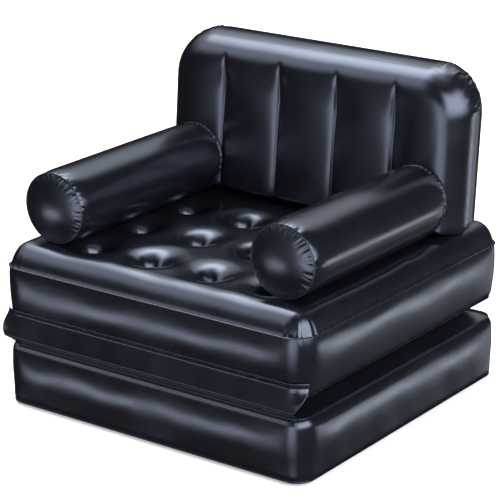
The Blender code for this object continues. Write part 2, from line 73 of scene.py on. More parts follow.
look = Vector((-math.sin(camera_azimuth) * math.cos(camera_drop),
               math.cos(camera_azimuth) * math.cos(camera_drop), -math.sin(camera_drop)))
side = Vector((math.cos(camera_azimuth), math.sin(camera_azimuth), 0.0))
camera_data = bpy.data.cameras.new("camera")
camera_data.lens = lens_length
camera = bpy.data.objects.new("camera", camera_data)
camera.matrix_world = Matrix((side, side.cross(look), -look)).transposed().to_4x4()
camera.location = camera_place
bpy.context.scene.collection.objects.link(camera)
bpy.context.scene.camera = camera
print("camera looks along", [round(part, 3) for part in look])

# %% [markdown]
# The sizes below, in metres, are the ones that several pieces share. The mattresses have the
# same plan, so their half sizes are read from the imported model. Where a sheet meets a band,
# both end in a narrow lip, and the lips lie on each other, a hair's breadth apart.

# %% Shared sizes
film, gap = 0.0008, 0.0003
lip = film + gap / 2
weld_width, weld_shine = 0.004, 0.004
corner_radius = 0.058
half_width, half_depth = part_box("seat_side_band")[1][:2]
base_height, seat_seam, seat_top = 0.200, 0.3876, 0.4447
# Pleats on a square grid are spread over this run, which is longer than any edge.
round_length = 8.0
tiny = 1e-9
print("mattress plan, mm:", round(2000 * half_width), "x", round(2000 * half_depth))

# %% [markdown]
# Every sheet of the chair starts as a flat grid that is bent into place by a formula. A round
# cornered outline is the path of most seams. Its points lie closer together at the corners, and
# each knows which way is out, so a seam can be drawn in or pushed out by a single number.


# %% Outlines and even spacing
def graded(start, end, coarse, fine, places, reach, flat=0.0):
    """Grid lines between two ends, closer together near some places."""
    t = np.linspace(start, end, 12001)
    away = np.min(np.abs(t[:, None] - np.array(places)), axis=1)
    step = fine + (coarse - fine) * np.clip((away - flat) / reach, 0.0, 1.0)
    count = np.concatenate(([0.0], np.cumsum((t[1] - t[0]) * 2 / (step[1:] + step[:-1]))))
    lines = int(round(count[-1]))
    return np.interp(np.arange(lines + 1) / lines * count[-1], count, t)


def outline(half_x, half_y, high_radius, low_radius, coarse, fine):
    """Points round a rectangle with round corners, finer at the corners, and the way out at each."""
    high_x, low_x = half_x - high_radius, half_x - low_radius
    side_run = 2 * half_y - high_radius - low_radius
    high_arc, low_arc = math.pi / 2 * high_radius, math.pi / 2 * low_radius
    runs = [high_x, high_arc, side_run, low_arc, 2 * low_x, low_arc, side_run, high_arc, high_x]
    marks = np.concatenate(([0.0], np.cumsum(runs)))
    corners = (marks[[1, 3, 5, 7]] + marks[[2, 4, 6, 8]]) / 2
    along = graded(0.0, marks[-1], coarse, fine, corners, 0.06, 0.05)[:-1]
    turn = np.radians(np.interp(along, marks, [90, 90, 180, 180, 270, 270, 360, 360, 450, 450]))
    out = np.stack([np.cos(turn), np.sin(turn)], axis=1)
    top, foot = half_y - high_radius, low_radius - half_y
    middle_x = [0, -high_x, -high_x, -low_x, -low_x, low_x, low_x, high_x, high_x, 0]
    middle_y = [top, top, top, foot, foot, foot, foot, top, top, top]
    radius = np.where((turn < math.pi) | (turn >= 2 * math.pi), high_radius, low_radius)
    sides = ((math.pi, 2, (high_radius, low_radius)), (2 * math.pi, 6, (low_radius, high_radius)))
    for side_turn, first, radii in sides:
        on_side = np.abs(turn - side_turn) < 1e-6
        radius = np.where(on_side, np.interp(along, marks[first:first + 2], radii), radius)
    middle = np.stack([np.interp(along, marks, middle_x), np.interp(along, marks, middle_y)], axis=1)
    return along, marks[-1], middle + radius[:, None] * out, out


def even(curve, count):
    """The same curve with its points evenly spaced."""
    steps = np.linalg.norm(np.diff(curve, axis=0), axis=1)
    run = np.concatenate(([0.0], np.cumsum(steps)))
    wanted = np.linspace(0.0, run[-1], count)
    return np.stack([np.interp(wanted, run, curve[:, i]) for i in range(curve.shape[1])], axis=1)


print("lines over 1 m, 5 mm apart and 3 mm at one end:", len(graded(0.0, 1.0, 0.005, 0.003, (0.0,), 0.1)))


# %% [markdown]
# Film that is welded along a curve has nowhere to put its spare length, so it gathers in small
# valleys that run away from the weld. They could be painted as a bump, but a real valley also
# catches the light at the edge of the shape, so they are pressed into the mesh. Each pleat gets
# its own place, length and lean from a seeded generator, and comes out the same every time.


# %% Pleats, ripples and the direction of a surface
def pleats(along, away, length, spacing, seed, depth, reach, width):
    """Valleys that run away from a seam, negative where the film goes in."""
    chance = np.random.default_rng(seed)
    count = int(length / spacing)
    places = (np.arange(count) + chance.uniform(-0.4, 0.4, count)) * length / count
    field = np.zeros(np.broadcast(along, away).shape)
    for place in places:
        size, far, lean = chance.uniform(0.35, 1.0), chance.uniform(0.5, 1.3), chance.uniform(-0.25, 0.25)
        offset = (along - place - lean * away + length / 2) % length - length / 2
        spread = width * (0.7 + size * 0.6) * (1.0 + away / (reach * far))
        fade = np.clip(1.0 - away / (reach * far), 0.0, 1.0) ** 1.5
        field -= size * np.exp(-(offset / spread) ** 2) * fade
    return field * depth


def ripple(points, wavelength, seed):
    """Smooth unevenness from a few plane waves, about -1 to 1."""
    chance = np.random.default_rng(seed)
    total = 0.0
    for _ in range(9):
        way = chance.normal(size=3)
        way *= 2 * math.pi / (wavelength * chance.uniform(0.7, 1.6) * np.linalg.norm(way))
        total = total + np.sin(points @ way + chance.uniform(0.0, 2 * math.pi))
    return total / 3.0


def facing(grid, wrap):
    """The outward direction at each point of a grid of points."""
    if wrap:
        across = np.roll(grid, -1, axis=1) - np.roll(grid, 1, axis=1)
    else:
        across = np.gradient(grid, axis=1)
    normal = np.cross(across, np.gradient(grid, axis=0))
    length = np.linalg.norm(normal, axis=2, keepdims=True)
    return normal / np.maximum(length, 1e-12)


def pushed(grid, amount, wrap=False):
    """The grid moved along its own outward direction."""
    return grid + amount[..., None] * facing(grid, wrap)


def near_weld(away):
    """1 at a weld, 0 where the film no longer looks pressed."""
    return np.clip(1.0 - away / weld_shine, 0.0, 1.0)


sample = pleats(np.linspace(0.0, 1.0, 2001), np.zeros(2001), 1.0, 0.02, 1, 0.001, 0.02, 0.003)
print("pleats 20 mm apart in 1 m of seam, deepest, mm:", round(-1000 * sample.min(), 2))


# %% [markdown]
# A film piece is a single surface with a Solidify modifier for the thickness of the film. How
# near each point is to a weld is stored with the mesh, because the finish changes there. A row
# of points that shrinks to a pole is merged. A crisp piece keeps its shading up to its edge.

# %% Film pieces
pieces = {}


def film_piece(name, grid, weld, wrap=False, body="chair", replaces=(), slot="outer_film",
               poles=False, crisp=False):
    """A film sheet through a grid of points, which rides on a body."""
    rows, columns = grid.shape[:2]
    index = np.arange(rows * columns).reshape(rows, columns)
    beside = np.roll(index, -1, axis=1)
    last = columns if wrap else columns - 1
    faces = np.stack([index[:-1, :last], beside[:-1, :last], beside[1:, :last], index[1:, :last]], axis=-1)
    mesh = bpy.data.meshes.new(name)
    mesh.from_pydata(grid.reshape(-1, 3).tolist(), [], faces.reshape(-1, 4).tolist())
    nearness = mesh.attributes.new("weld", "FLOAT", "POINT")
    nearness.data.foreach_set("value", np.broadcast_to(weld, (rows, columns)).astype(np.float32).ravel())
    if poles:
        shape = bmesh.new()
        shape.from_mesh(mesh)
        bmesh.ops.remove_doubles(shape, verts=shape.verts, dist=1e-6)
        shape.to_mesh(mesh)
        shape.free()
    mesh.shade_smooth()
    if crisp:
        used = np.zeros(len(mesh.edges), dtype=int)
        edges = np.zeros(len(mesh.loops), dtype=np.int32)
        mesh.loops.foreach_get("edge_index", edges)
        np.add.at(used, edges, 1)
        sharp = mesh.attributes.new("sharp_edge", "BOOLEAN", "EDGE")
        sharp.data.foreach_set("value", used == 1)
    piece = bpy.data.objects.new(name, mesh)
    bpy.context.scene.collection.objects.link(piece)
    skin = piece.modifiers.new("film", "SOLIDIFY")
    skin.thickness, skin.offset = film, -1.0
    if replaces:
        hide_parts(*replaces)
    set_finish(piece, slot)
    if body:
        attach(piece, body)
    pieces[name] = piece
    print(f"{name}: {len(mesh.polygons)} faces")


# %% [markdown]
# The sides of both mattresses bulge between two seams. Near its widest line a side is part of a
# large circle. Further up and down it runs straighter, and the last few centimetres roll in
# towards the fold. So the section is drawn as a path whose bend changes on the way. Round the
# corners, blown film turns more slowly than its seams do and is drawn in a little. The seat's
# upper seam stands open to view, and its lip droops.

# %% Side bands
plan_along, plan_length, plan_points, plan_out = outline(
    half_width, half_depth, corner_radius, corner_radius, 0.0052, 0.0017)
corner_share = np.clip(np.min(np.abs(plan_out), axis=1) / math.sin(math.pi / 4), 0.0, 1.0)
corner_draw, corner_spread, corner_ease = 0.0062, 0.052, 0.015
half_arc = math.pi / 4 * corner_radius
first_corner = half_width - corner_radius + half_arc
second_corner = half_width - corner_radius + 3 * half_arc + 2 * (half_depth - corner_radius)
corner_places = np.array([first_corner, second_corner, -second_corner, -first_corner]) % plan_length
from_each = (plan_along[:, None] - corner_places + plan_length / 2) % plan_length - plan_length / 2
from_corner = np.abs(from_each).min(axis=1)
corner_bump = np.exp(-(from_corner / corner_spread) ** 2 / 2)
print("corners lie at, mm:", np.round(1000 * corner_places))


def eased_plan(reach):
    """The plan with its turns spread over a longer run, as blown film takes a corner."""
    run = np.arange(0.0, plan_length, 0.001)
    closed = np.append(plan_along, plan_length)
    reaches = np.arange(-3.0 * reach, 3.0 * reach, 0.001)
    share = np.exp(-(reaches / reach) ** 2 / 2)
    share = share / share.sum()
    eased = []
    for values in (*plan_points.T, *plan_out.T):
        line = np.interp(run, closed, np.append(values, values[0]))
        wide = np.concatenate((line[-len(share):], line, line[:len(share)]))
        blurred = np.convolve(wide, share, mode="same")[len(share):-len(share)]
        eased.append(np.interp(plan_along, run, blurred, period=plan_length))
    return np.stack(eased[:2], axis=1), np.stack(eased[2:], axis=1)


eased_points, eased_out = eased_plan(corner_ease)


def half_section(rise, bends):
    """Insets and heights of half a side, from its widest line to its seam's height and beyond.

    bends are pairs: how far along the path, and the radius it bends with up to there.
    """
    step, longest = 0.0002, 0.260
    run = np.arange(0.0, longest, step)
    bend = np.zeros(run.shape)
    start = 0.0
    for end, radius in bends:
        bend[(run >= start) & (run < end)] = 1.0 / radius
        start = end
    bend = np.convolve(bend, np.ones(41) / 41, mode="same")
    lean = np.minimum(np.cumsum(bend * step), math.pi / 2)
    curve = np.stack([np.cumsum(np.sin(lean) * step), np.cumsum(np.cos(lean) * step)], axis=1)
    inside = curve[(curve[:, 1] <= rise) & (lean < math.pi / 2)]
    return np.vstack((inside, (inside[-1, 0], rise)))


def seam_split(curve, seam_inset):
    """The part of a half section up to its seam, and the part beyond."""
    return curve[curve[:, 0] <= seam_inset], curve[curve[:, 0] >= seam_inset]


def mattress_side(name, widest, low, high, seed, body, replaces, open_seam=False):
    """A side band with a weld lip and small pleats at both seams."""
    below, above = seam_split(*low)[0], seam_split(*high)[0]
    section = np.vstack((below[::-1] * (1, -1), above[1:])) + (0.0, widest)
    section[0, 1] += lip
    section[-1, 1] -= lip
    section = even(section, 36)
    out_low = np.array([weld_width, 0.0])
    out_high = np.array([weld_width, weld_width * seam_droop * open_seam])
    section = np.vstack((section[0] - out_low, section[0] - out_low / 2, section,
                         section[-1] - out_high / 2, section[-1] - out_high))
    run = np.concatenate(([0.0], np.cumsum(np.linalg.norm(np.diff(section, axis=0), axis=1))))
    from_low = np.maximum(run - weld_width, 0.0)[:, None]
    from_high = np.maximum(run[-1] - run - weld_width, 0.0)[:, None]
    middle = np.clip(4.0 * from_low * from_high / run[-1] ** 2, 0.0, 1.0)
    inset = section[:, 0][:, None] + corner_draw * middle * corner_bump
    ease = np.where(open_seam & (from_low > from_high), 1.0, np.sqrt(middle))[..., None]
    plan = plan_points + (eased_points - plan_points) * ease
    plan = plan - inset[..., None] * (plan_out + (eased_out - plan_out) * ease)
    grid = np.dstack((plan, np.broadcast_to(section[:, 1][:, None], plan.shape[:2])))
    amount = 0.0
    for away, pleat_seed in ((from_low, seed), (from_high, seed + 1)):
        fine = pleats(plan_along, away, plan_length, spacing=0.021, seed=pleat_seed,
                      depth=0.0005, reach=0.020, width=0.0030)
        deep = pleats(plan_along, away, plan_length, spacing=0.0085, seed=pleat_seed + 7,
                      depth=0.0014, reach=0.026, width=0.0022)
        amount = amount + fine + deep * corner_share ** 2
    free = np.minimum(from_low, from_high)
    uneven = 0.0006 * ripple(grid, wavelength=0.14, seed=seed + 3)
    grid = pushed(grid, amount + uneven * np.clip(free / 0.03, 0.0, 1.0), wrap=True)
    film_piece(name, grid, near_weld(free), wrap=True, body=body, replaces=replaces)


# Each half section goes with how far its seam lies inside the widest line.
seat_widest, base_widest = 0.327, 0.100
seam_droop = 0.7
fold_bends = ((0.042, 0.28), (0.074, 0.90), (0.110, 0.036))
seat_low = (half_section(seat_widest - base_height - gap / 2, fold_bends), 0.022)
seat_high = (half_section(seat_seam - seat_widest, ((0.034, 0.28), (0.080, 0.115))), 0.0102)
base_low = (half_section(base_widest, ((0.030, 0.28), (0.074, 5.0), (0.130, 0.0285))), 0.014)
base_high = (half_section(base_height - gap / 2 - base_widest,
                          ((0.040, 0.28), (0.050, 0.60), (0.090, 0.036))), 0.022)
sections = {"seat fold": seat_low, "seat seam": seat_high, "floor": base_low, "base fold": base_high}
for name, (curve, _) in sections.items():
    print(f"{name}: rises {1000 * curve[-1, 1]:.1f} mm, runs in {1000 * curve[-1, 0]:.1f} mm")
mattress_side("seat_side_skin", seat_widest, seat_low, seat_high, seed=11, body="chair",
              replaces=("seat_side_band",), open_seam=True)
mattress_side("base_side_skin", base_widest, base_low, base_high, seed=31, body="base_mattress",
              replaces=("base_side_band",))

# %% [markdown]
# The top of the seat is one sheet that coil beams, hourglass tubes inside the mattress, hold
# down in twelve places. The sheet is laid out as a square grid whose corners are drawn round,
# because a grid of rings would crowd its points in the middle.

# %% Places held down by the coil beams
column_pitch, row_pitch = 0.1867, 0.200
seat_rows, base_rows, beam_columns = 3, 4, 4
seat_first_row, base_first_row = -0.320, -0.300


def beam_places(rows, first_row):
    """Row, column and place of each coil beam, from the front left."""
    for row in range(rows):
        for column in range(beam_columns):
            x = (column - (beam_columns - 1) / 2) * column_pitch
            yield row + 1, column + 1, x, first_row + row * row_pitch


def drawn_round(x, y, half_x, half_y, radius):
    """A square grid's points on a round cornered plan, with their distance from its edge.

    It also tells how far along the edge each point lies, and whether it is at a corner.
    """
    beyond_x, beyond_y = np.abs(x) - (half_x - radius), np.abs(y) - (half_y - radius)
    corner = (beyond_x > 0) & (beyond_y > 0)
    reach = np.maximum(beyond_x, beyond_y)
    length = np.maximum(np.hypot(beyond_x, beyond_y), tiny)
    new_x = np.where(corner, np.sign(x) * (half_x - radius + reach * beyond_x / length), x)
    new_y = np.where(corner, np.sign(y) * (half_y - radius + reach * beyond_y / length), y)
    inset = np.where(corner, radius - reach, np.minimum(half_x - np.abs(x), half_y - np.abs(y)))
    turn = np.arctan2(np.maximum(beyond_y, 0.0), np.maximum(beyond_x, tiny))
    upright = (half_x - np.abs(x) < half_y - np.abs(y)) & ~corner
    turn = np.where(corner, turn, np.where(upright, 0.0, math.pi / 2))
    flat_run = np.where(upright, 0.0, np.maximum(half_x - radius - np.abs(x), 0.0))
    along = np.minimum(np.abs(y), half_y - radius) + radius * turn + flat_run
    quarter = round_length / 4 * ((x < 0) + 2 * (y < 0))
    return new_x, new_y, inset, along + quarter, corner


print("coil beams:", len(list(beam_places(seat_rows, seat_first_row))), "in the seat,",
      len(list(beam_places(base_rows, base_first_row))), "in the base")

# %% [markdown]
# Around each coil beam the film rises steeply, as the skin of a cushion does from its button,
# and rounds over into the next. A round sheet under pressure, held at its middle, takes about
# this form. Small pleats run out from each ring and in from the seam, deeper at the corners.

# %% Seat top
dimple_depth, dimple_reach, weld_ring = 0.049, 0.107, 0.025
seat_inset, corner_fit = 0.010, 0.0045
shoulder, shoulder_start = 0.055, 0.025
foot_line, foot_reach, foot_lift = 0.292, 0.075, 0.0010


def soft_step(value):
    """0 below 0, 1 above 1, with a soft passage."""
    value = np.clip(value, 0.0, 1.0)
    return value * value * (3.0 - 2.0 * value)


def dimples(x, y, places, ring, reach):
    """How far the coil beams draw a sheet in, from 1 in their ring to 0 outside, steep by the ring."""
    core = 0.46 * ring

    def fall(away):
        return (reach - core) * np.log((reach - core) / (away - core)) - (reach - away)

    total = 0.0
    for _, _, beam_x, beam_y in places:
        away = np.clip(np.hypot(x - beam_x, y - beam_y), ring, reach)
        total = total + (fall(away) / fall(ring)) ** 3
    return np.minimum(np.cbrt(total), 1.0)


def ring_pleats(x, y, places, ring, seed, depth, reach):
    """Small pleats that run out from the ring of each coil beam."""
    chance = np.random.default_rng(seed)
    total = np.zeros(x.shape)
    for _, _, beam_x, beam_y in places:
        away, turn = np.hypot(x - beam_x, y - beam_y), np.arctan2(y - beam_y, x - beam_x)
        count, start = chance.integers(9, 14), chance.uniform(0, 6)
        wave = np.cos(turn * count + start + 0.8 * np.sin(turn * 2 + chance.uniform(0, 6)))
        fade = np.clip(away / ring, 0.0, 1.0) ** 2 * np.clip(1.0 - (away - ring) / reach, 0.0, 1.0) ** 2
        total += depth * wave * fade
    return total


def seat_top_skin():
    """The seat's top sheet with its crown, dimples and pleats."""
    half_x, half_y = half_width - seat_inset, half_depth - seat_inset
    xs = graded(-half_x - weld_width, half_x + weld_width, 0.0052, 0.0030, (-half_x, half_x), 0.09)
    ys = graded(-half_y - weld_width, half_y + weld_width, 0.0052, 0.0030, (-half_y, half_y), 0.09)
    flat_x, flat_y = np.meshgrid(xs, ys)
    x, y, inset, along, corner = drawn_round(flat_x, flat_y, half_x, half_y, corner_radius - corner_fit)
    share = shoulder_start + (1.0 - shoulder_start) * np.clip(inset / shoulder, 0.0, 1.0)
    start = math.sqrt(1.0 - (1.0 - shoulder_start) ** 2)
    rise = (seat_top - seat_seam - lip) * (np.sqrt(1.0 - (1.0 - share) ** 2) - start) / (1.0 - start)
    places = list(beam_places(seat_rows, seat_first_row))
    crown = seat_seam + lip + rise
    held = dimples(x, y, places, weld_ring, dimple_reach)
    crown = crown - seam_droop * np.maximum(-inset, 0.0)
    grid = np.dstack((x, y, crown - (crown - seat_top + dimple_depth) * held))
    away = np.maximum(inset, 0.0)
    fine = pleats(along, away, round_length, spacing=0.023, seed=51, depth=0.0005, reach=0.020, width=0.0035)
    deep = pleats(along, away, round_length, spacing=0.009, seed=52, depth=0.0030, reach=0.034, width=0.0030)
    radial = ring_pleats(x, y, places, weld_ring, seed=53, depth=0.0004, reach=0.020)
    calm = np.clip(away / 0.04, 0.0, 1.0)
    waves = 0.0006 * ripple(grid, wavelength=0.11, seed=54)
    waves = waves + 0.0022 * ripple(grid, wavelength=0.30, seed=57)
    # The backrest is welded down along its foot, so the sheet lies flat against it there.
    under_back = np.exp(-((y - foot_line) / foot_reach) ** 4)
    waves = waves * (1.0 - 0.9 * under_back) + foot_lift * under_back
    grid = pushed(grid, fine + deep * corner + radial + waves * calm)
    film_piece("seat_top_skin", grid, near_weld(away), replaces=("seat_top_sheet",))


seat_top_skin()

# %% [markdown]
# The two sheets that face each other between the mattresses, and the one on the floor, are flat
# apart from their rolled edges, so rings that shrink to a point are enough for them. The floor
# sheet is drawn up a little by its coil beams, which shows when the base lies unfolded.


# %% Hidden sheets and the floor sheet
tightest_corner, flat_dimple_reach, floor_dimple = 0.014, 0.085, 0.016


def drawn_in(points, out, inset):
    """The mattress plan drawn in all round, with corners that stay round."""
    half_plan = np.array([half_width, half_depth])
    radius = max(corner_radius - inset, tightest_corner)
    middles = (points - corner_radius * out) * (half_plan - inset - radius) / (half_plan - corner_radius)
    return middles + radius * out


def flat_sheet(name, plane, widest, side_roll, way, body, replaces, places, depth):
    """A flat sheet with rolled edges. way is 1 where it faces up and -1 where it faces down."""
    edge = even(seam_split(*side_roll)[1], 14) * (1, way) + (0.0, widest)
    edge[0, 1] += way * lip
    edge[-1, 1] = plane
    rim = np.vstack((edge[0] - (weld_width, 0.0), edge))
    points, out = plan_points[::3], plan_out[::3]
    rows = [np.column_stack((drawn_in(points, out, inset), np.full(len(points), height)))
            for inset, height in rim]
    flat, rings = rows[-1], 55
    for share in np.linspace(0.0, 1.0, rings + 1)[1:]:
        rows.append(np.column_stack((flat[:, :2] * (1.0 - share), np.full(len(flat), plane))))
    grid = np.array(rows)
    if places:
        held = dimples(grid[..., 0], grid[..., 1], places, weld_ring, flat_dimple_reach)
        grid[..., 2] -= way * depth * held * (np.arange(len(rows)) >= len(rim) - 1)[:, None]
    weld = np.zeros(grid.shape[:2])
    weld[:2] = 1.0
    if way < 0:
        grid, weld = grid[::-1], weld[::-1]
    film_piece(name, grid, weld, wrap=True, body=body, replaces=replaces, poles=True)


floor_places = list(beam_places(base_rows, base_first_row))
flat_sheet("seat_bottom_skin", base_height + gap / 2, seat_widest, seat_low, -1, "chair",
           ("seat_bottom_sheet",), places=[], depth=0.0)
flat_sheet("base_top_skin", base_height - gap / 2, base_widest, base_high, 1, "base_mattress",
           ("base_top_sheet",), places=[], depth=0.0)
flat_sheet("base_bottom_skin", 0.0, base_widest, base_low, -1, "base_mattress",
           ("base_bottom_sheet",), places=floor_places, depth=floor_dimple)

# %% [markdown]
# Inside, each coil beam is a tube of plain film with a waist, welded to both sheets. It could be
# left out, because it can't be seen, but the dimples are there only because of it.


# %% Coil beams
coil_waist, coil_flare, coil_turns = 0.021, 0.007, 32


def coil_tube(name, node, body, x, y, foot, head):
    """An hourglass tube between two sheets."""
    turn = np.arange(coil_turns) / coil_turns * 2 * math.pi
    share = np.linspace(-1.0, 1.0, 13)[:, None]
    radius = coil_waist + coil_flare * share ** 2
    height = (foot + head) / 2 + (head - foot) / 2 * share + 0.0 * turn
    grid = np.dstack((x + radius * np.cos(turn), y + radius * np.sin(turn), height))
    film_piece(name, grid, np.clip(np.abs(share) * 12 - 11, 0, 1), wrap=True, body=body,
               replaces=(node,), slot="inner_film")


beam_gap = film + gap
for row, column, x, y in beam_places(seat_rows, seat_first_row):
    coil_tube(f"seat_coil_tube_{row}_{column}", f"seat_coil_beam_{row}_{column}", "chair", x, y,
              base_height + gap / 2 + beam_gap, seat_top - dimple_depth - beam_gap)
for row, column, x, y in floor_places:
    coil_tube(f"base_coil_tube_{row}_{column}", f"base_coil_beam_{row}_{column}", "base_mattress", x, y,
              floor_dimple + beam_gap, base_height - gap / 2 - beam_gap)

# %% [markdown]
# The backrest is a thick slab of air that leans back a little. Four upright strips inside tie
# its front to its back, so the front swells into five channels. Between them the film goes in
# sharply, because it is held along a line. The channels fade out below the edge, which rolls
# over to a seam all round, and faster at the foot, where the seat holds it.

# %% Backrest
back_half_width = half_width - 0.015
back_top, back_foot = 0.886, seat_top + gap
back_middle, back_half_height = (back_top + back_foot) / 2, (back_top - back_foot) / 2
back_plane, back_lean = 0.327, 0.08
back_half_thickness, gusset_half = 0.090, 0.042
back_roll, foot_roll = 0.070, 0.030
top_radius, foot_radius, back_seam = 0.125, 0.035, 0.008
seam_share = 1.0 - math.sqrt(1.0 - (gusset_half / back_half_thickness) ** 2)
side_softness, top_softness = 1.9, 1.35
groove_places = (-0.275, -0.092, 0.092, 0.275)
channel_half, groove_width, groove_depth = 0.0915, 0.0055, 0.0042


def leaned(height):
    """The backrest's middle plane at a height."""
    return back_plane - back_lean * (back_top - height)


def channels(x):
    """A soft and a sharp hollow, both 1 in a groove and 0 on the crown of a channel."""
    away = np.min(np.abs(x[..., None] - np.array(groove_places)), axis=-1)
    share = np.clip(away / channel_half, 0.0, 1.0)
    hollow = 0.72
    arc = np.sqrt(1.0 - hollow * (1.0 - share) ** 2)
    return (1.0 - arc) / (1.0 - math.sqrt(1.0 - hollow)), np.exp(-away / groove_width)


def roll_left(away, roll, softness):
    """How much of the edge's roll is still to come: 1 at the seam, 0 on the flat.

    A higher softness keeps the same slope at the seam and goes over into the flat more slowly.
    """
    reach = roll * (1.0 - seam_share) * softness
    return np.clip(1.0 - away / reach, 0.0, 1.0) ** softness


def back_sheet(name, way, depth, replaces, seed):
    """The front (way -1) or the back (way 1) of the backrest."""
    half_x, half_z = back_half_width - back_seam, back_half_height - back_seam
    reach = weld_width if way > 0 else 0.0
    fine_x, fine_z = (-half_x, half_x) + groove_places, (-half_z, half_z, 0.820 - back_middle)
    edge_x = graded(-half_x - reach, half_x + reach, 0.0060, 0.0022, fine_x, 0.035)
    edge_z = graded(-half_z - reach, half_z + reach, 0.0055, 0.0030, fine_z, 0.06)
    flat_x, flat_z = np.meshgrid(edge_x[::-way], edge_z)
    radius = np.where(flat_z > 0, top_radius, foot_radius) - back_seam
    x, up, inset, along, corner = drawn_round(flat_x, flat_z, half_x, half_z, radius)
    sideways = np.abs(x) - (half_x - radius)
    slant = (sideways / np.maximum(np.hypot(sideways, np.abs(up) - (half_z - radius)), tiny)) ** 2
    left = np.maximum(roll_left(half_x - np.abs(x), back_roll, side_softness),
                      np.maximum(roll_left(half_z - up, back_roll, top_softness),
                                 roll_left(half_z + up, foot_roll, 1.0)))
    end_roll, end_softness = np.where(up > 0, back_roll, foot_roll), np.where(up > 0, top_softness, 1.0)
    round_left = roll_left(inset, end_roll + (back_roll - end_roll) * slant,
                           end_softness + (side_softness - end_softness) * slant)
    left = (1.0 - seam_share) * np.where(corner, np.maximum(left, round_left), left)
    rounded = np.sqrt(1.0 - left ** 2)
    height = up + back_middle
    soft, sharp = channels(x)
    deeper_up = 0.62 + 0.38 * soft_step((height - 0.600) / 0.16)
    channel_end = soft_step((0.846 - height) / 0.120)
    groove_end = soft_step((0.864 - height) / 0.055)
    hollow = depth * deeper_up * soft * channel_end + groove_depth * sharp * groove_end
    bulge = back_half_thickness * rounded + film + gap / 2
    bulge = bulge - hollow * np.clip((1.0 - left - seam_share) * 2.0, 0.0, 1.0)
    grid = np.dstack((x, leaned(height) + way * bulge, height))
    away = np.maximum(inset, 0.0)
    amount = 0.0006 * ripple(grid, wavelength=0.12, seed=seed + 2) * np.clip(away / 0.04, 0.0, 1.0)
    if way > 0:
        gather = pleats(along, away, round_length, spacing=0.010, seed=seed + 1,
                        depth=0.0012, reach=0.028, width=0.0032)
        amount = amount + gather * corner
    film_piece(name, pushed(grid, amount), near_weld(away) * (way > 0), replaces=replaces, crisp=way < 0)


back_sheet("backrest_front_skin", -1, 0.013, ("backrest_front_sheet",), 61)
back_sheet("backrest_back_skin", 1, 0.012, ("backrest_back_sheet",), 71)

# %% [markdown]
# A band closes the edge of the backrest. It carries on the round of the front sheet, so that
# no seam shows from the front, and is welded to the back sheet. Round the tight upper corners
# it has far more length than the weld behind, and gathers into long pleats that cross.


# %% Backrest gusset and its inner strips
def gusset_skin():
    """The band round the backrest's edge, from the rear seam to the front sheet."""
    along, length, points, out = outline(
        back_half_width, back_half_height, top_radius, foot_radius, 0.0046, 0.0016)
    edge = gusset_half - lip
    across = np.linspace(edge, -gusset_half - film, 24)
    insets = back_roll * (1.0 - np.sqrt(1.0 - (across / back_half_thickness) ** 2))
    depths = np.concatenate(([edge, edge], across))
    insets = np.concatenate((insets[:1] - weld_width, insets[:1] - weld_width / 2, insets))
    points, out, along = points[::-1], out[::-1], along[::-1]
    flat = points[None] - insets[:, None, None] * out[None]
    height = flat[..., 1] + back_middle
    grid = np.dstack((flat[..., 0], leaned(height) + depths[:, None], height))
    from_rear = np.maximum(edge - depths, 0.0)[:, None]
    at_front = np.clip((gusset_half + depths) / 0.020, 0.0, 1.0)[:, None]
    corners = np.clip(np.min(np.abs(out), axis=1) * 5.0, 0.0, 1.0) * np.where(points[:, 1] > 0, 1.0, 0.6)
    fine = pleats(along, from_rear, length, spacing=0.024, seed=83, depth=0.0006, reach=0.030, width=0.0035)
    deep = pleats(along, from_rear, length, spacing=0.0085, seed=81, depth=0.0042, reach=0.075, width=0.0028)
    crossing = pleats(along + 0.5 * from_rear, from_rear, length, spacing=0.012, seed=82,
                      depth=0.0030, reach=0.110, width=0.0034)
    uneven = 0.0003 * ripple(grid, wavelength=0.12, seed=84)
    amount = (fine + (deep + crossing) * corners + uneven) * at_front
    film_piece("backrest_gusset_skin", pushed(grid, amount, wrap=True), near_weld(from_rear), wrap=True,
               replaces=("backrest_gusset",), crisp=True)


gusset_skin()
for number, place in enumerate(groove_places, start=1):
    low = back_foot + back_seam + foot_roll + 0.020
    rows = np.linspace(low, 0.780, 40)[:, None]
    reach = np.linspace(-0.068, 0.080, 16)[None, :]
    sway = 0.0012 * np.sin(rows * 60) * np.cos(reach * 18)
    strip = np.dstack((place + sway, leaned(rows) + reach, rows + 0.0 * reach))
    film_piece(f"backrest_strip_{number}", strip, 0.0, replaces=(f"backrest_web_{number}",),
               slot="inner_film")

# %% [markdown]
# Each arm is a tube closed by two discs. The tube is pinched in at both ends, where it is
# welded to a disc, and the spare film of both gathers into short pleats all round that weld.
# The seat flattens the tube from below, and the rear disc lies flat against the backrest.

# %% Arms
arm_place, arm_height, arm_radius, arm_seam = 0.360, 0.5415, 0.098, 0.091
arm_front = -0.390
arm_lowest = seat_top + gap
arm_run, arm_round, disc_dome = 0.50, 0.048, 0.018
arm_turn = np.arange(216) / 216 * 2 * math.pi
arm_around, arm_girth = arm_turn * arm_radius, 2 * math.pi * arm_radius
arm_lip = [arm_seam + weld_width, arm_seam + weld_width / 2]


def arm_rear(height):
    """Where an arm meets the backrest."""
    return leaned(height) - back_half_thickness - gap


def flat_below(height):
    """Heights of an arm's film, held up smoothly by the seat it lies on."""
    soft = 0.006
    above = height - arm_lowest
    passage = np.where(above < -soft, 0.0, (above + soft) ** 2 / (4 * soft))
    return arm_lowest + np.where(above > soft, above, passage)


def arm_rings(x, radius):
    """Sideways places and heights of rings of points round an arm's axis."""
    high = arm_height + radius[:, None] * np.sin(arm_turn)
    return x + radius[:, None] * np.cos(arm_turn), flat_below(high)


